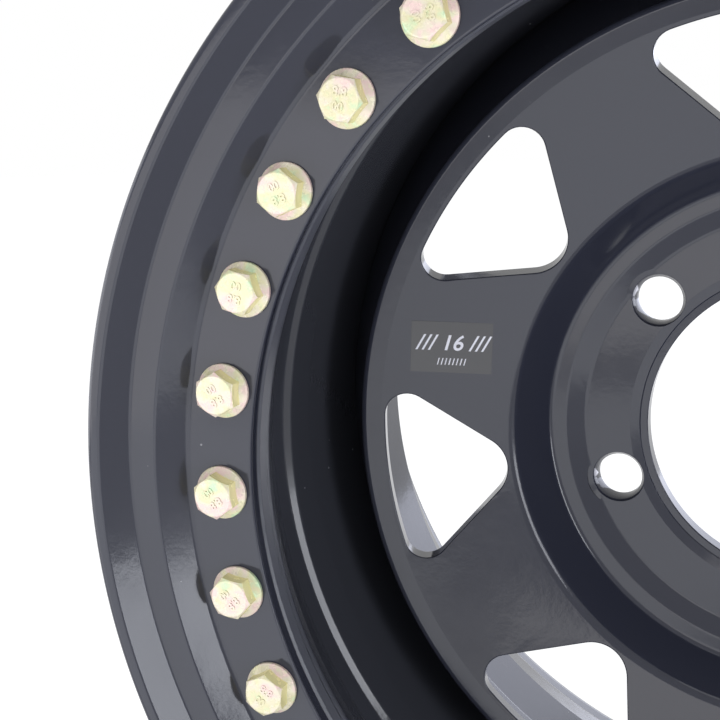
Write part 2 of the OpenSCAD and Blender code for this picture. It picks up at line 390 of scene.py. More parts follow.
class NodeKit:
    """Short ways to add and link nodes in one node tree."""

    def __init__(self, tree: Tree) -> None:
        """Keeps the tree that the nodes go into."""
        self.tree = tree

    def add(self, kind: str, inputs: dict[str, object] | None = None, **values: object) -> Node:
        """Adds a node of a kind, and sets the given properties and inputs on it."""
        node = self.tree.nodes.new(kind)
        for key, value in values.items():
            setattr(node, key, value)
        for key, value in (inputs or {}).items():
            node.inputs[key].default_value = value
        return node

    def link(self, source: Socket, target: Socket) -> None:
        """Links two sockets."""
        self.tree.links.new(source, target)

    def math(self, operation: str, a: object, b: object = None) -> Socket:
        """Adds a Math node on sockets or numbers, and gives its output."""
        node = self.add("ShaderNodeMath", operation=operation)
        for socket, value in zip(node.inputs, (a, b)):
            if isinstance(value, Socket):
                self.link(value, socket)
            elif value is not None:
                socket.default_value = value
        return node.outputs[0]

    def noise(
        self, vector: Socket, scale: float, detail: float = 2.0, rough: float = 0.5
    ) -> Socket:
        """Adds a Noise Texture on a vector, and gives its factor."""
        given = {"Scale": scale, "Detail": detail, "Roughness": rough}
        node = self.add("ShaderNodeTexNoise", given)
        self.link(vector, node.inputs["Vector"])
        return node.outputs["Fac"]

    def span(self, value: Socket, low: float, high: float, to_low: float, to_high: float) -> Socket:
        """Adds a clamped Map Range node, and gives its result."""
        given = {"From Min": low, "From Max": high, "To Min": to_low, "To Max": to_high}
        node = self.add("ShaderNodeMapRange", given, clamp=True)
        self.link(value, node.inputs["Value"])
        return node.outputs["Result"]

    def blend(self, factor: Socket, a: object, b: object) -> Socket:
        """Adds a colour Mix node between two colours or sockets."""
        node = self.add("ShaderNodeMix", data_type="RGBA")
        self.link(factor, node.inputs[0])
        for socket, value in ((node.inputs[6], a), (node.inputs[7], b)):
            if isinstance(value, Socket):
                self.link(value, socket)
            else:
                socket.default_value = value
        return node.outputs[2]

    def bump(self, height: Socket, strength: float, distance: float, shader: Node) -> None:
        """Adds a Bump node on a height, and feeds the shader's normal."""
        node = self.add("ShaderNodeBump", {"Strength": strength, "Distance": distance})
        self.link(height, node.inputs["Height"])
        self.link(node.outputs["Normal"], shader.inputs["Normal"])

    def show(self, kind: str, seen: Socket, lit: Node, bare: Node) -> None:
        """Feeds an output node with one shader for seen rays and one for the rest."""
        mix = self.add("ShaderNodeMixShader")
        self.link(seen, mix.inputs[0])
        self.link(lit.outputs[0], mix.inputs[1])
        self.link(bare.outputs[0], mix.inputs[2])
        self.link(mix.outputs[0], self.add(kind).inputs["Surface"])


def fresh_material(name: str) -> tuple[Paint, NodeKit, Node]:
    """Makes a material, and gives it with its node kit and its shader."""
    made = bpy.data.materials.new(name)
    made.use_nodes = True
    return made, NodeKit(made.node_tree), made.node_tree.nodes["Principled BSDF"]


class CoatGroup:
    """Shader group for a powder coat: peel, roughness drift and settled dust."""

    name = "powder_coat_surface"

    @classmethod
    def get(cls) -> Tree:
        """Gives the group, and builds it on the first call.

        Returns:
            The node group with its sockets.
        """
        found = bpy.data.node_groups.get(cls.name)
        if found is not None:
            return found
        tree = bpy.data.node_groups.new(cls.name, "ShaderNodeTree")
        face = tree.interface
        for key, kind, start in (
            ("Base", "NodeSocketColor", (0.02, 0.02, 0.023, 1)),
            ("Roughness", "NodeSocketFloat", 0.25),
            ("Dust", "NodeSocketFloat", 1.0),
        ):
            socket = face.new_socket(name=key, in_out="INPUT", socket_type=kind)
            socket.default_value = start
        for key, kind in (
            ("Color", "NodeSocketColor"),
            ("Roughness", "NodeSocketFloat"),
            ("Height", "NodeSocketFloat"),
        ):
            face.new_socket(name=key, in_out="OUTPUT", socket_type=kind)
        kit = NodeKit(tree)
        given = kit.add("NodeGroupInput")
        out = kit.add("NodeGroupOutput")
        where = kit.add("ShaderNodeTexCoord").outputs["Object"]
        peel = kit.noise(where, 700, 2, 0.4)
        wave = kit.noise(where, 180, 1, 0.4)
        height = kit.math("MULTIPLY_ADD", wave, 2.0)
        kit.link(peel, height.node.inputs[2])
        drift = kit.span(kit.noise(where, 22, 3, 0.6), 0.35, 0.65, -0.03, 0.03)
        specks = kit.add("ShaderNodeTexVoronoi", {"Scale": 125}, feature="F1")
        kit.link(where, specks.inputs["Vector"])
        grain = kit.add("ShaderNodeSeparateColor")
        kit.link(specks.outputs["Color"], grain.inputs[0])
        reach = kit.span(grain.outputs[0], 0.80, 1.0, 0.0, 0.055)
        dot = kit.math("LESS_THAN", specks.outputs["Distance"], reach)
        dust = kit.math("MULTIPLY", kit.math("MULTIPLY", dot, 0.32), given.outputs["Dust"])
        colour = kit.blend(dust, given.outputs["Base"], (0.55, 0.55, 0.58, 1))
        kit.link(colour, out.inputs["Color"])
        rough = kit.math("ADD", given.outputs["Roughness"], drift)
        rough = kit.math("ADD", rough, kit.math("MULTIPLY", dust, 0.6))
        kit.link(rough, out.inputs["Roughness"])
        kit.link(height, out.inputs["Height"])
        return tree


@dataclass(frozen=True)
class PowderCoat:
    """Satin black powder coat over steel."""

    name: str = "black_powder_coat"
    colour: tuple[float, float, float] = (0.025, 0.027, 0.040)
    roughness: float = 0.11
    dust: float = 1.0
    peel: float = 0.03
    ior: float = 1.40

    def build(self) -> Paint:
        """Builds the material from the coat group.

        Returns:
            The finished material.
        """
        made, kit, shader = fresh_material(self.name)
        given = {"Base": (*self.colour, 1), "Roughness": self.roughness, "Dust": self.dust}
        group = kit.add("ShaderNodeGroup", given, node_tree=CoatGroup.get())
        kit.link(group.outputs["Color"], shader.inputs["Base Color"])
        kit.link(group.outputs["Roughness"], shader.inputs["Roughness"])
        kit.bump(group.outputs["Height"], self.peel, 0.0004, shader)
        shader.inputs["IOR"].default_value = self.ior
        return made


@dataclass(frozen=True)
class YellowZinc:
    """Passivated zinc on the bolts: cream, with olive, pink and green tints."""

    name: str = "yellow_zinc"
    roughness: float = 0.24
    painted_light: float = 0.0

    def build(self) -> Paint:
        """Builds the plated metal with its drifting tints.

        Returns:
            The finished material.
        """
        made, kit, shader = fresh_material(self.name)
        where = kit.add("ShaderNodeTexCoord").outputs["Object"]
        ramp = kit.add("ShaderNodeValToRGB")
        stops = (
            (0.30, (0.46, 0.62, 0.40, 1)),
            (0.42, (0.60, 0.56, 0.35, 1)),
            (0.50, (0.62, 0.57, 0.44, 1)),
            (0.60, (0.66, 0.49, 0.46, 1)),
            (0.70, (0.58, 0.58, 0.38, 1)),
        )
        band = ramp.color_ramp
        band.elements[0].position, band.elements[0].color = stops[0]
        band.elements[1].position, band.elements[1].color = stops[-1]
        for position, colour in stops[1:-1]:
            band.elements.new(position).color = colour
        kit.link(kit.noise(where, 120, 3, 0.6), ramp.inputs[0])
        # Blends the ramp towards a bright yellow by the given amount: painted light, used for the
        # hexagon's sides.
        tone = kit.add("ShaderNodeValue")
        tone.outputs[0].default_value = self.painted_light
        colour = kit.blend(tone.outputs[0], ramp.outputs["Color"], (1.0, 0.90, 0.42, 1))
        kit.link(colour, shader.inputs["Base Color"])
        rough = kit.span(
            kit.noise(where, 420, 2, 0.5), 0.3, 0.7, self.roughness - 0.05, self.roughness + 0.09
        )
        kit.link(rough, shader.inputs["Roughness"])
        kit.bump(kit.noise(where, 900, 2, 0.5), 0.12, 0.0003, shader)
        shader.inputs["Metallic"].default_value = 0.15
        return made


@dataclass(frozen=True)
class PrintInk:
    """White ink on the label's film."""

    name: str = "label_ink"
    colour: tuple[float, float, float] = (0.62, 0.62, 0.68)
    roughness: float = 0.35

    def build(self) -> Paint:
        """Builds the plain ink."""
        made, _, shader = fresh_material(self.name)
        shader.inputs["Base Color"].default_value = (*self.colour, 1)
        shader.inputs["Roughness"].default_value = self.roughness
        return made


class Disc:
    """The pressed disc with its bore, stud holes and eight windows."""

    t = 8.0
    bore_r = 55.75
    dish_r = 62.3
    dish_h = 1.5
    hub_r = 79.0
    land_r = 92.0
    land_w = 6.0
    land_h = 3.0
    cone_r = 102.0
    cone_h = 28.0
    crest_r = 157.0
    crest_w = 7.2
    crest_h = 42.5
    crest_dip = 1.4
    flange_top = 1.0
    flange_l = 29.0
    stud_pcd = 139.7
    stud_r = 8.5
    stud_cone_r = 9.8
    stud_a = 17.2
    stud_n = 6
    win_n = 8
    win_a = 6.57
    win_out_r = 148.3
    win_apex_r = 98.6
    win_side = math.radians(41.35)
    win_in = 13.0
    win_out = 8.0
    edge_r = 0.55

    def __init__(self, sizes: Sizes) -> None:
        """Takes the shared sizes and lays out the sheet's street side."""
        self.sizes = sizes
        self.line: list[Corner] = [
            (self.dish_r, self.t, 0.8),
            (self.hub_r, self.t, 4),
            (self.land_r - self.land_w, self.t + self.land_h, 3),
            (self.land_r, self.t + self.land_h, 3),
            (self.cone_r, self.cone_h, 6),
            (self.crest_r - self.crest_w, self.crest_h - self.crest_dip, 3),
            (self.crest_r, self.crest_h, 2.2),
            (sizes.well_r, -self.flange_top, 10),
            (sizes.well_r, -self.flange_top - self.flange_l, 0),
        ]

    @property
    def tilt(self) -> float:
        """Slope of the spoke face against the hub face, in radians."""
        return math.atan2(
            self.crest_h - self.crest_dip - self.cone_h, self.crest_r - self.crest_w - self.cone_r
        )

    def section(self) -> list[Point]:
        """Gives the closed section, with the dished bore edge."""
        top = self.t - self.dish_h
        front = [
            (self.bore_r, top - 0.9, 0),
            (self.bore_r, top + 0.1, 0.8),
            (self.bore_r + 2.7, top + 0.25, 0.2),
            (self.bore_r + 3.1, top + 0.6, 0.2),
        ]
        whole = [(self.bore_r, self.t, 0)] + list(self.line[1:])
        back = fillet(beside(whole, -self.t), 5)[::-1]
        return fillet(front + list(self.line), 8) + back

    def front_height(self, radius: float) -> float:
        """Gives the height of the street side at a radius on the spokes."""
        points = fillet(self.line[3:8], 10)
        for a, b in zip(points, points[1:]):
            if a[0] <= radius <= b[0]:
                return a[1] + (b[1] - a[1]) * (radius - a[0]) / (b[0] - a[0])
        return self.crest_h

    def outline(self, grow: float) -> list[Point]:
        """Gives a window's outline about the X axis, grown by a margin.

        Args:
            grow: Margin outside the real outline, in millimetres.

        Returns:
            Points in order round the window.
        """
        a, corner, nose = self.win_side, self.win_out + grow, self.win_in + grow
        apex = self.win_apex_r - grow / math.sin(a)
        rim = self.win_out_r + grow
        f = apex + corner / math.sin(a)
        q = f * math.cos(a)
        s = -q + math.sqrt(q * q - f * f + (rim - corner) ** 2)
        mx, my = f + s * math.cos(a), s * math.sin(a)
        top = math.atan2(my, mx)
        v = apex + nose / math.sin(a)
        half: list[Point] = []
        for j in range(13):
            w = math.pi - (math.pi / 2 - a) * j / 12
            half.append((v + nose * math.cos(w), nose * math.sin(w)))
        for j in range(13):
            w = (math.pi / 2 + a) + (top - math.pi / 2 - a) * j / 12
            half.append((mx + corner * math.cos(w), my + corner * math.sin(w)))
        for j in range(1, 13):
            w = top * (1 - j / 12)
            half.append((rim * math.cos(w), rim * math.sin(w)))
        return half + [(x, -y) for x, y in half[-2:0:-1]]

    def window_tool(self, index: int) -> Piece:
        """Builds the tool that cuts one window and rounds both its edges.

        Args:
            index: Which window, counted round the wheel.

        Returns:
            A closed mesh.
        """
        tilt = self.tilt
        drop = self.t / math.cos(tilt)
        rounds = 5
        levels: list[Point] = [(self.edge_r + 0.02, 4.0)]
        for j in range(rounds + 1):
            w = math.pi / 2 * j / rounds
            levels.append((self.edge_r * (1 - math.sin(w)), -self.edge_r * (1 - math.cos(w))))
        levels[1] = (self.edge_r + 0.02, 0.03)
        for j in range(rounds + 1):
            w = math.pi / 2 * (1 - j / rounds)
            levels.append(
                (self.edge_r * (1 - math.sin(w)), -drop + self.edge_r * (1 - math.cos(w)))
            )
        levels.append((self.edge_r + 0.02, -drop - 6.0))
        turn = math.radians(self.win_a + 360 / self.win_n * index)
        deselect_all()
        count = len(self.outline(0))
        bpy.ops.mesh.primitive_circle_add(vertices=count, radius=MM, fill_type="NGON")
        tool = bpy.context.active_object
        bpy.ops.object.mode_set(mode="EDIT")
        bpy.ops.mesh.select_all(action="SELECT")
        for step, (grow, lift) in enumerate(levels):
            if step:
                bpy.ops.mesh.extrude_region_move(
                    TRANSFORM_OT_translate={"value": (0, 0, -MM)}
                )
            mesh = bmesh.from_edit_mesh(tool.data)
            face = next(f for f in mesh.faces if f.select)
            for corner, (x, y) in zip(face.loops, self.outline(grow)):
                x -= lift * math.sin(tilt) * math.cos(tilt)
                px = x * math.cos(turn) - y * math.sin(turn)
                pz = x * math.sin(turn) + y * math.cos(turn)
                height = self.front_height(math.hypot(x, y)) + lift
                corner.vert.co = Vector((px * MM, -height * MM, pz * MM))
            bmesh.update_edit_mesh(tool.data)
        bpy.ops.mesh.select_all(action="SELECT")
        bpy.ops.mesh.normals_make_consistent(inside=False)
        if bmesh.from_edit_mesh(tool.data).calc_volume(signed=True) < 0:
            bpy.ops.mesh.flip_normals()
        bpy.ops.object.mode_set(mode="OBJECT")
        return tool

    def stud_tool(self, index: int) -> Piece:
        """Builds the tool for one stud hole with its nut cone."""
        turn = math.radians(self.stud_a + 360 / self.stud_n * index)
        r = self.stud_pcd / 2
        depth = (self.stud_cone_r - self.stud_r) / math.tan(math.radians(30))
        line: list[Corner] = [
            (0, -3, 0),
            (self.stud_r + 0.5, -3, 0),
            (self.stud_r + 0.5, -0.02, 0),
            (self.stud_r, 0.5, 0),
            (self.stud_r, self.t - depth, 0),
            (self.stud_cone_r, self.t, 0.3),
            (self.stud_cone_r + 2.0, self.t + 0.3, 0),
            (self.stud_cone_r + 2.0, self.t + 3, 0),
            (0, self.t + 3, 0),
        ]
        return lathe(
            "stud_tool",
            fillet(line, 5),
            48,
            (r * math.cos(turn), r * math.sin(turn)),
            closed=False,
        )

    def build(self, coat: Paint) -> Piece:
        """Spins the sheet, cuts windows and stud holes, and dresses it."""
        piece = lathe("pressed_disc", self.section())
        tools = [self.window_tool(i) for i in range(self.win_n)]
        tools += [self.stud_tool(i) for i in range(self.stud_n)]
        cut(piece, [join(tools, "disc_tools")])
        smooth(piece)
        piece.data.materials.append(coat)
        return place(piece, Finish.COAT, "wheel_disc")


class Barrel:
    """The rolled rim sheet and the weld that holds the disc in it."""

    swell = 3.1
    step_top = 2.8
    step_foot = 0.5
    hump_h = 0.9
    rear_seat_l = 22.0
    rear_curl = 7.0
    shoulder_drop = 20.5
    valve_r = 5.75
    valve_h = 50.0
    valve_a = -30.0
    weld = 6.0

    def __init__(self, sizes: Sizes) -> None:
        """Takes the shared sizes and lays out the sheet's inner side."""
        self.sizes = s = sizes
        shoulder = s.neck_top - self.shoulder_drop
        seat_back = s.rear_face + self.rear_seat_l
        self.line: list[Corner] = [
            (s.neck_r, s.neck_top, 0),
            (s.neck_r, s.neck_top - s.neck_l, 5),
            (s.neck_r + 4.2, s.neck_top - 15.5, 1.5),
            (s.well_r + 0.6, shoulder, 3),
            (s.well_r + self.swell, shoulder - 13.0, 5),
            (s.well_r + self.step_top, shoulder - 21.0, 1.0),
            (s.well_r + self.step_foot, shoulder - 23.1, 1.2),
            (s.well_r, shoulder - 38.0, 20),
            (s.well_r, -s.well_rear, 20),
            (s.well_r + 9.6, -s.well_rear - 38, 6),
            (s.seat_r - s.rim_t - 1.9 + self.hump_h, seat_back + 3, 4),
            (s.seat_r - s.rim_t - 1.9, seat_back - 4, 5),
            (s.seat_r - s.rim_t, s.rear_face - s.rim_t, 10),
            (s.outer_r - s.rim_t, s.rear_face - s.rim_t, 2.5),
            (s.outer_r - s.rim_t, s.rear_face - s.rim_t - self.rear_curl, 0),
        ]

    def valve_tool(self) -> Piece:
        """Builds the tool for the valve hole."""
        turn = math.radians(self.valve_a)
        r = self.sizes.well_r + 2
        spot = (r * math.cos(turn), self.valve_h, r * math.sin(turn))
        return cylinder(self.valve_r, 24, spot, (0, math.pi / 2 - turn, 0), 64)

    def build(self, coat: Paint, highlight_paint: Paint) -> list[Piece]:
        """Spins the rim sheet and its weld, and dresses them."""
        section = sheet(self.line, self.sizes.rim_t, 8)
        piece = lathe("rolled_rim", section)
        cut(piece, [self.valve_tool()])
        smooth(piece)
        # The coat given here is the lighter copy: painted fill light on the rim sheet and its weld.
        piece.data.materials.append(coat)
        top = self.sizes.neck_top
        # Painted highlight: the neck's inner face takes the lighter coat.
        paint_inside(piece, highlight_paint, self.sizes.neck_r + 0.8, top - 6, top + 1)
        place(piece, Finish.COAT, "rim_barrel")
        return [piece, self.build_weld(coat)]

    def build_weld(self, coat: Paint) -> Piece:
        """Spins the fillet weld behind the disc's flange, with a rippled face."""
        low, r, w = -30.0, self.sizes.well_r, self.weld
        reach = min(w, self.sizes.well_rear + low)
        section = fillet(
            [
                (r, low, 0),
                (r - w, low, 0),
                (r - w * 0.62, low - w * 0.42, 2),
                (r, low - reach, 0),
            ],
            5,
        )
        piece = lathe("disc_weld_bead", section, 240)
        smooth(piece, weighted=False)
        piece.data.materials.append(coat)
        return place(piece, Finish.COAT, "disc_weld")


class BeadRing:
    """The turned ring on the neck's end, with its welds."""

    in_r = 167.0
    chamfer = 1.2
    face_r = 191.0
    taper_h = 4.5
    flange_r = 217.0
    flange_t = 8.0
    flange_in_r = 190.0
    hole_r = 4.05
    inner_weld = 1.6
    outer_weld = 6.0

    def __init__(self, sizes: Sizes) -> None:
        """Takes the shared sizes."""
        self.sizes = sizes

    def section(self) -> list[Point]:
        """Gives the ring's closed section."""
        s = self.sizes
        seat = s.seat_r - 0.4
        back = s.ring_back - self.flange_t
        return fillet(
            [
                (self.in_r, s.neck_top, 0),
                (self.in_r, s.ring_h - self.chamfer, 0.25),
                (self.in_r + self.chamfer, s.ring_h, 0.25),
                (self.face_r, s.ring_h, 1),
                (seat, s.ring_h - self.taper_h, 2),
                (seat, s.ring_back, 3),
                (self.flange_r - 4, s.ring_back, 3),
                (self.flange_r, s.ring_back - self.flange_t * 0.7, 1),
                (self.flange_r, back, 0.8),
                (self.flange_in_r, back, 0.8),
                (self.flange_in_r, s.ring_back, 0),
                (s.neck_out(s.ring_back) + 1.5, s.ring_back, 0),
                (s.neck_r + s.rim_t, s.neck_top - s.neck_l + 1.5, 0),
                (s.neck_r + s.rim_t, s.neck_top, 0),
            ],
            5,
        )

    def roughen(self, piece: Piece, low: float, high: float, reach: float) -> None:
        """Makes the inner edge between two heights as uneven as thick paint.

        Args:
            piece: The ring or its weld.
            low: Height where the edge starts, in millimetres.
            high: Height where it ends.
            reach: Largest shift of a point, in millimetres.
        """
        for vert in piece.data.vertices:
            radius, height = math.hypot(vert.co.x, vert.co.z) / MM, -vert.co.y / MM
            if radius > self.in_r + 2.2 or not low < height < high:
                continue
            shift = noise.noise(vert.co * 420) + 0.6 * noise.noise(vert.co * 1100)
            scale = 1 + reach * shift / radius
            vert.co.x *= scale
            vert.co.z *= scale

    def build(self, coat: Paint, weld: Paint, highlight_paint: Paint) -> list[Piece]:
        """Spins the ring and its weld beads, and dresses them."""
        s = self.sizes
        piece = lathe("bead_ring_body", self.section(), 480)
        cut(piece, [bolt_hole_tools(s, self.hole_r, s.ring_back - 1, s.ring_h + 1)])
        self.roughen(piece, s.ring_h - self.chamfer - 0.1, s.ring_h + 0.1, 0.16)
        smooth(piece)
        piece.data.materials.append(coat)
        # Painted highlight: the ring's bore takes the lighter coat.
        paint_inside(piece, highlight_paint, self.in_r + 1.0, s.neck_top - 1, s.ring_h - 0.3)
        place(piece, Finish.COAT, "bead_ring")
        foot, low = s.neck_out(s.ring_back), s.ring_back - self.outer_weld
        inner = [
            (s.neck_r, s.neck_top, 0),
            (s.neck_r, s.neck_top - self.inner_weld, 0),
            (s.neck_r - (s.neck_r - self.in_r) * 0.6, s.neck_top - self.inner_weld * 0.75, 0.5),
            (self.in_r, s.neck_top, 0),
        ]
        outer = [
            (foot, s.ring_back, 0),
            (foot + self.outer_weld, s.ring_back, 0),
            (foot + self.outer_weld * 0.72, s.ring_back - self.outer_weld * 0.45, 2),
            (s.neck_out(low), low, 0),
        ]
        beads = [
            lathe("inner_bead", fillet(inner, 4), 480),
            lathe("outer_bead", fillet(outer, 5), 360),
        ]
        both = join(beads, "ring_weld_beads")
        self.roughen(both, s.neck_top - self.inner_weld - 0.1, s.neck_top - 0.1, 0.2)
        smooth(both, 50, weighted=False)
        both.data.materials.append(weld)
        return [piece, place(both, Finish.WELD, "ring_weld")]


def paint_inside(piece: Piece, paint: Paint, radius: float, low: float, high: float) -> None:
    """Gives the faces inside a radius and between two heights a second paint.

    Args:
        piece: The piece that already has its first paint.
        paint: The second paint.
        radius: Largest radius of a face's middle, in millimetres.
        low: Lowest height of a face's middle.
        high: Highest height of a face's middle.
    """
    piece.data.materials.append(paint)
    last = len(piece.data.materials) - 1
    for face in piece.data.polygons:
        middle = face.center
        inside = math.hypot(middle.x, middle.z) < radius * MM
        if inside and low * MM < -middle.y < high * MM:
            face.material_index = last


def bolt_hole_tools(sizes: Sizes, radius: float, low: float, high: float) -> Piece:
    """Builds the ring of drills for the bolt holes.

    Args:
        sizes: The shared sizes.
        radius: Radius of a hole, in millimetres.
        low: Height where the drills start.
        high: Height where they end.

    Returns:
        The drills, joined into one mesh.
    """
    drills = []
    for i in range(sizes.bolt_n):
        turn = 2 * math.pi * i / sizes.bolt_n
        r = sizes.bolt_pcd / 2
        spot = (r * math.cos(turn), (low + high) / 2, r * math.sin(turn))
        drills.append(cylinder(radius, high - low, spot, (math.pi / 2, 0, 0), 24))
    return join(drills, "drills")


class ClampRing:
    """The outer ring that the bolts press on the tyre's bead."""

    in_r = 166.4
    undercut = 1.1
    flat_r = 189.8
    face_w = 9.3
    lip_h = 8.6
    lip_w = 5.0
    hole_r = 4.5

    def __init__(self, sizes: Sizes) -> None:
        """Takes the shared sizes."""
        self.sizes = sizes

    def section(self) -> list[Point]:
        """Gives the ring's closed section."""
        s = self.sizes
        lean = s.clamp_step_h
        step_face = s.clamp_face + s.clamp_step_h
        lip = step_face + self.lip_h
        face_r = self.flat_r + lean + self.face_w
        middle = (s.ring_h + s.clamp_face) / 2
        points = fillet(
            [
                (self.in_r + self.undercut / 2, middle, 0),
                (self.in_r, s.clamp_face, 0.9),
                (self.flat_r, s.clamp_face, 3),
                (self.flat_r + lean, step_face, 1.5),
                (face_r, step_face, 1.5),
                (s.outer_r - self.lip_w - 1, lip - 0.2, 1.5),
                (s.outer_r - 2, lip, 2.5),
                (s.outer_r, lip - 4.7, 2),
                (s.outer_r, s.front_face + 6, 3),
                (s.outer_r - 6.5, s.front_face, 3),
                (self.flat_r + lean + 2.6, s.front_face, 2),
                (self.flat_r + 2.6, s.ring_h, 3),
                (self.in_r + self.undercut, s.ring_h, 0.3),
                (self.in_r + self.undercut / 2, middle, 0),
            ],
            8,
        )
        return points[:-1]

    def build(self, coat: Paint) -> Piece:
        """Spins the ring, drills it and dresses it."""
        s = self.sizes
        piece = lathe("clamp_ring_body", self.section(), 320)
        cut(piece, [bolt_hole_tools(s, self.hole_r, s.ring_h - 1, s.clamp_face + 1)])
        smooth(piece)
        piece.data.materials.append(coat)
        return place(piece, Finish.COAT, "clamp_ring")


class ClampBolts:
    """The flanged hexagon bolts round the clamp ring."""

    d = 8.0
    length = 18.0
    af = 13.0
    head_h = 7.6
    flange_r = 9.0
    rim = 1.2
    mark_t = 0.22
    seen_turns = {13: 54.5, 14: 9.0, 15: 39.0, 16: 36.0, 17: 37.5}

    def __init__(self, sizes: Sizes) -> None:
        """Takes the shared sizes."""
        self.sizes = sizes

    def turned_part(self) -> Piece:
        """Spins the shank and the flange, along Y with the head towards -Y."""
        r, f = self.d / 2, self.flange_r
        line: list[Corner] = [
            (0, -self.length, 0),
            (r - 0.8, -self.length, 0),
            (r, -self.length + 0.8, 0),
            (r, 0, 0),
            (f, 0, 0.25),
            (f, self.rim, 0.45),
            (self.af / 2, self.rim + 1.6, 0.6),
            (0, self.rim + 1.6, 0),
        ]
        return lathe("turned_part", fillet(line, 4), 48, closed=False)

    def hexagon(self) -> Piece:
        """Builds the six-sided head with its domed chamfer."""
        across = self.af / math.cos(math.radians(30)) / 2
        spot = (0, (self.head_h + 0.5) / 2, 0)
        head = cylinder(across, self.head_h - 0.5, spot, (math.pi / 2, math.pi / 6, 0), 6)
        line: list[Corner] = [
            (0, 0.2, 0),
            (across + 0.5, 0.2, 0),
            (across + 0.5, self.head_h - 1.15, 0),
            (self.af / 2 - 0.3, self.head_h, 0.7),
            (0, self.head_h, 0),
        ]
        cut(head, [lathe("dome", fillet(line, 4), 48, closed=False)], "INTERSECT")
        activate(head)
        bevel = head.modifiers.new("edges", "BEVEL")
        bevel.width = 0.18 * MM
        bevel.segments = 2
        bevel.limit_method = "ANGLE"
        bevel.angle_limit = math.radians(28)
        bpy.ops.object.modifier_apply(modifier=bevel.name)
        return head

    def marks(self) -> Piece:
        """Raises plain numbers on the head's top."""
        made = []
        for body, size, y in (("8.8", 3.9, 0.9), ("00", 3.6, -3.3)):
            move = Matrix.Translation((0, y * MM, (self.head_h + 0.04) * MM))
            frame = Matrix.Rotation(math.pi / 2, 4, "X") @ move
            made.append(raised_word(body, size, self.mark_t, 3, 0, frame))
        return join(made, "marks")

    def paint_side_light(self, bolt: Piece) -> None:
        """Gives the faces round the hexagon the second material, a lighter and yellower copy of the
        plating: painted light on the sides.
        """
        for face in bolt.data.polygons:
            middle = face.center
            outside = math.hypot(middle.x, middle.z) > self.af / 2 * 0.97 * MM
            upright = abs(face.normal.y) < 0.35
            above = -middle.y > (self.rim + 0.2) * MM
            face.material_index = 1 if outside and upright and above else 0

    def build(self, zinc: Paint, side: Paint) -> Piece:
        """Models one bolt, and sets a copy in each hole.

        Args:
            zinc: The plated finish.
            side: The same plating, lighter and yellower: painted light on the hexagon's sides.

        Returns:
            All the bolts as one piece.
        """
        s = self.sizes
        one = self.turned_part()
        cut(one, [self.hexagon()], "UNION")
        smooth(one, 28)
        one = join([one, self.marks()], "one_bolt")
        one.data.materials.clear()
        one.data.materials.append(zinc)
        one.data.materials.append(side)
        self.paint_side_light(one)
        bolts = []
        for i in range(s.bolt_n):
            bolt = one.copy()
            bolt.data = one.data.copy()
            bpy.context.scene.collection.objects.link(bolt)
            turn = self.seen_turns.get(i, 47 * i + 11 * math.sin(math.radians(131 * i)))
            flip = Matrix.Rotation(math.pi / 2, 4, "X")
            move = (
                flip
                @ Matrix.Rotation(2 * math.pi * i / s.bolt_n, 4, "Z")
                @ Matrix.Translation((s.bolt_pcd / 2 * MM, 0, s.clamp_face * MM))
                @ Matrix.Rotation(math.radians(turn), 4, "Z")
                @ flip.inverted()
            )
            bolt.data.transform(move)
            bolts.append(bolt)
        bpy.data.objects.remove(one, do_unlink=True)
        return place(join(bolts, "clamp_bolt_set"), Finish.ZINC, "clamp_bolts")


class Label:
    """The film stuck on one spoke, with a plain print of its own."""

    at = 127.3
    angle = math.radians(164.7)
    turn = math.radians(10.7)
    length = 30.0
    width = 19.4
    corner = 2.4
    film_t = 0.2
    ink_t = 0.05
    slant = 0.25

    def __init__(self, disc: Disc) -> None:
        """Takes the disc that carries the film."""
        self.disc = disc

    def frame(self) -> Matrix:
        """Gives the place of the film's middle, with X along the print."""
        out = Vector((math.cos(self.angle), 0, math.sin(self.angle)))
        tilt = self.disc.tilt
        along = -out * math.cos(tilt) + Vector((0, math.sin(tilt), 0))
        up = Vector((-math.sin(self.angle), 0, math.cos(self.angle))) * -1
        face = along.cross(up)
        height = self.disc.front_height(self.at)
        middle = (out * self.at + Vector((0, -height, 0))) * MM
        axes = Matrix((along, up, face)).transposed().to_4x4()
        return Matrix.Translation(middle) @ axes @ Matrix.Rotation(self.turn, 4, "Z")

    def film(self) -> Piece:
        """Cuts the film's rounded sheet and lays it on the spoke."""
        deselect_all()
        bpy.ops.mesh.primitive_cube_add(size=1)
        sheet_of_film = bpy.context.active_object
        sheet_of_film.name = "label_film"
        sheet_of_film.scale = (self.length * MM, self.width * MM, self.film_t * 2 * MM)
        apply_all()
        bpy.ops.object.mode_set(mode="EDIT")
        mesh = bmesh.from_edit_mesh(sheet_of_film.data)
        for edge in mesh.edges:
            a, b = edge.verts
            edge.select_set(abs(a.co.z - b.co.z) > self.film_t * MM)
        bmesh.update_edit_mesh(sheet_of_film.data)
        bpy.ops.mesh.bevel(offset=self.corner * MM, segments=8)
        bpy.ops.object.mode_set(mode="OBJECT")
        sheet_of_film.matrix_world = self.frame()
        apply_all()
        return sheet_of_film

    def build(self, film: Paint, ink: Paint) -> Piece:
        """Dresses the film and lays the print on it.

        Args:
            film: Finish of the film.
            ink: Finish of the print.

        Returns:
            The print.
        """
        label = self.film()
        label.data.materials.append(film)
        place(label, Finish.FILM, "spoke_label")
        made = []
        for body, size, y in (("/// 16 ///", 8.2, -1.0), ("| | | | | | | |", 2.6, -6.0)):
            move = Matrix.Translation((0, y * MM, (self.film_t + self.ink_t / 2) * MM))
            frame = self.frame() @ move
            made.append(raised_word(body, size, self.ink_t / 2, 4, self.slant, frame))
        words = join(made, "label_print")
        words.data.materials.clear()
        words.data.materials.append(ink)
        return place(words, Finish.FILM)


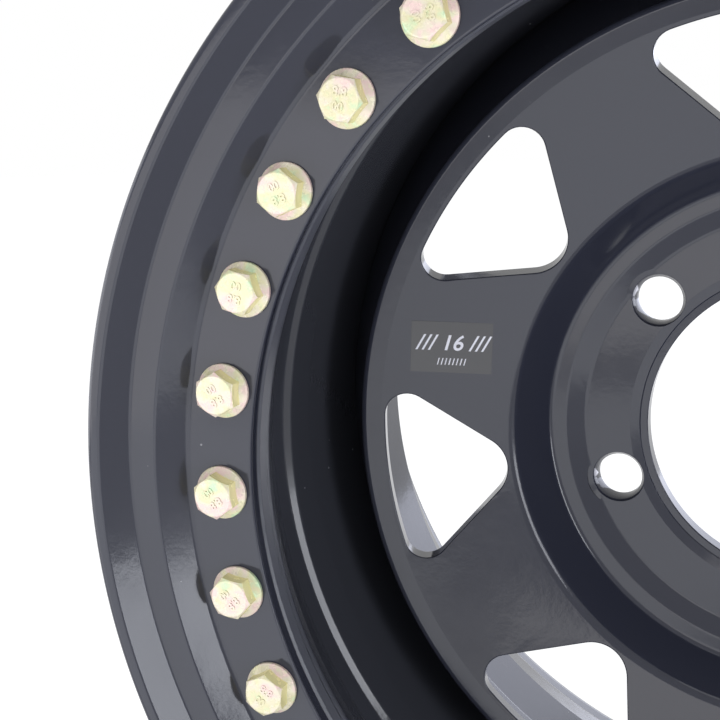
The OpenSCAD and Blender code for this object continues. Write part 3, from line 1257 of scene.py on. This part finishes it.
class Studio:
    """Camera, lamps, backdrop and floor."""

    eye = (0.0214515, -0.4857828, 0.1247297)
    tilt = (0.19671265, -0.38170152, 0.05183070)
    lens = 65.0

    def camera(self) -> None:
        """Places the camera of the photograph."""
        data = bpy.data.cameras.new("camera")
        data.lens = self.lens
        data.sensor_width = 36
        data.clip_start = 0.02
        obj = bpy.data.objects.new("camera", data)
        bpy.context.scene.collection.objects.link(obj)
        rx, ry, rz = self.tilt
        turn = (
            Matrix.Rotation(rz, 3, "Z") @ Matrix.Rotation(rx, 3, "X") @ Matrix.Rotation(ry, 3, "Y")
        )
        axes = []
        for row in turn:
            axes.append(Vector((row[0], -row[2], row[1])))
        frame = Matrix((axes[0], axes[1], axes[2])).transposed().to_4x4()
        obj.matrix_world = Matrix.Translation(self.eye) @ frame
        bpy.context.scene.camera = obj

    @staticmethod
    def background_ray(kit: NodeKit) -> Socket:
        """Tells camera, glossy and transmission rays from the ones that light.

        Args:
            kit: The node tree that asks.

        Returns:
            A factor that is 1 for rays that show the background.
        """
        rays = kit.add("ShaderNodeLightPath")
        seen = kit.math("MAXIMUM", rays.outputs["Is Camera Ray"], rays.outputs["Is Glossy Ray"])
        return kit.math("MAXIMUM", seen, rays.outputs["Is Transmission Ray"])

    def world(self) -> None:
        """Makes the surroundings white to the eye and softer as a light."""
        world = bpy.data.worlds.new("studio")
        bpy.context.scene.world = world
        world.use_nodes = True
        kit = NodeKit(world.node_tree)
        world.node_tree.nodes.clear()
        white = kit.add("ShaderNodeBackground", {"Color": (1, 1, 1, 1)})
        soft = kit.add("ShaderNodeBackground", {"Color": (0.93, 0.95, 1, 1), "Strength": 0.55})
        kit.show("ShaderNodeOutputWorld", self.background_ray(kit), soft, white)

    def floor(self) -> None:
        """Lays the pale floor that the rim would stand on."""
        deselect_all()
        bpy.ops.mesh.primitive_plane_add(size=12, location=(0, 0, -0.2203))
        floor = bpy.context.active_object
        floor.name = "floor"
        apply_all()
        made = bpy.data.materials.new("pale_floor")
        made.use_nodes = True
        kit = NodeKit(made.node_tree)
        made.node_tree.nodes.clear()
        plain = kit.add("ShaderNodeBsdfDiffuse", {"Color": (0.85, 0.85, 0.86, 1)})
        shaded = kit.add("ShaderNodeBsdfDiffuse", {"Color": (0.32, 0.32, 0.32, 1)})
        glow = kit.add("ShaderNodeEmission", {"Strength": 0.86})
        seen = kit.add("ShaderNodeAddShader")
        kit.link(shaded.outputs[0], seen.inputs[0])
        kit.link(glow.outputs[0], seen.inputs[1])
        kit.show("ShaderNodeOutputMaterial", self.background_ray(kit), plain, seen)
        floor.data.materials.append(made)

    def lamp(
        self,
        name: str,
        spot: tuple[float, float, float],
        aim: tuple[float, float, float],
        size: tuple[float, float],
        power: float,
        colour: tuple[float, float, float] = (1, 1, 1),
    ) -> None:
        """Adds one soft box.

        Args:
            name: Name of the lamp.
            spot: Where it stands, in metres.
            aim: The point that it faces.
            size: Width and height, in metres.
            power: Strength in watts.
            colour: Colour of its light.
        """
        data = bpy.data.lights.new(name, "AREA")
        data.shape = "RECTANGLE"
        data.size, data.size_y = size
        data.energy = power
        data.color = colour
        obj = bpy.data.objects.new(name, data)
        obj.visible_camera = False
        bpy.context.scene.collection.objects.link(obj)
        obj.location = spot
        obj.rotation_euler = (Vector(aim) - Vector(spot)).to_track_quat("-Z", "Y").to_euler()

    def build(self) -> None:
        """Sets up the whole studio."""
        self.camera()
        self.world()
        self.floor()
        self.lamp("front", (-0.68, -1.0, -0.03), (-0.15, 0, 0), (2.0, 0.36), 5.4, (1.0, 0.98, 0.97))
        self.lamp("table", (-0.35, -0.66, -0.215), (-0.35, -0.66, 1), (1.2, 0.68), 4.2, (0.95, 0.97, 1))
        self.lamp("right", (0.80, -0.64, -0.02), (-0.15, -0.08, 0), (0.3, 0.6), 4.5, (0.90, 0.93, 1))
        self.lamp("left", (-1.3, -0.25, 0.0), (-0.1, -0.1, 0), (0.8, 0.8), 4.0, (0.90, 0.92, 1))
        self.lamp("top", (0, -0.6, 2.0), (0, 0, 0), (2.0, 1.2), 10, (0.97, 0.98, 1))
        self.lamp("rear", (0.6, 1.6, 0.1), (-0.1, 0, 0), (1.4, 0.9), 9.0, (0.78, 0.82, 1))
        self.lamp("side", (0.85, 0.60, -0.10), (-0.15, -0.05, 0), (0.45, 0.5), 3.6, (0.84, 0.87, 1))
        self.lamp("back", (0.42, 0.32, -0.215), (0.42, 0.32, 1), (0.5, 0.5), 4.2, (0.86, 0.87, 1))
        bpy.context.scene.view_settings.view_transform = "Standard"


def main() -> None:
    """Builds the wheel piece by piece, then the studio."""
    logging.basicConfig(level=logging.INFO, format="%(message)s")
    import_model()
    sizes = Sizes()
    coat = PowderCoat().build()
    # The weld beads and the film wear the plain materials that the frame brings.
    weld = bpy.data.materials["weld_coat"]
    film = bpy.data.materials["label_film"]
    disc = Disc(sizes)
    disc.build(coat)
    log.info("disc built")
    # The rim sheet wears a lighter copy of the coat: painted fill light in the shaded well.
    painted_light = PowderCoat("painted_fill_light_coat", (0.046, 0.048, 0.058), 0.12).build()
    # A lighter, rougher copy of the coat: painted highlight on the neck's inner face and the bead
    # ring's bore.
    highlight_paint = PowderCoat("painted_highlight_coat", (0.060, 0.063, 0.078), 0.33).build()
    Barrel(sizes).build(painted_light, highlight_paint)
    log.info("rim built")
    BeadRing(sizes).build(coat, weld, highlight_paint)
    ClampRing(sizes).build(coat)
    log.info("rings built")
    # A lighter, yellower copy of the zinc: painted light on the hexagon's sides.
    side = YellowZinc("yellow_zinc_painted_side_light", 0.2, 0.8).build()
    ClampBolts(sizes).build(YellowZinc().build(), side)
    log.info("bolts built")
    Label(disc).build(film, PrintInk().build())
    Studio().build()


if __name__ == "__main__":
    main()
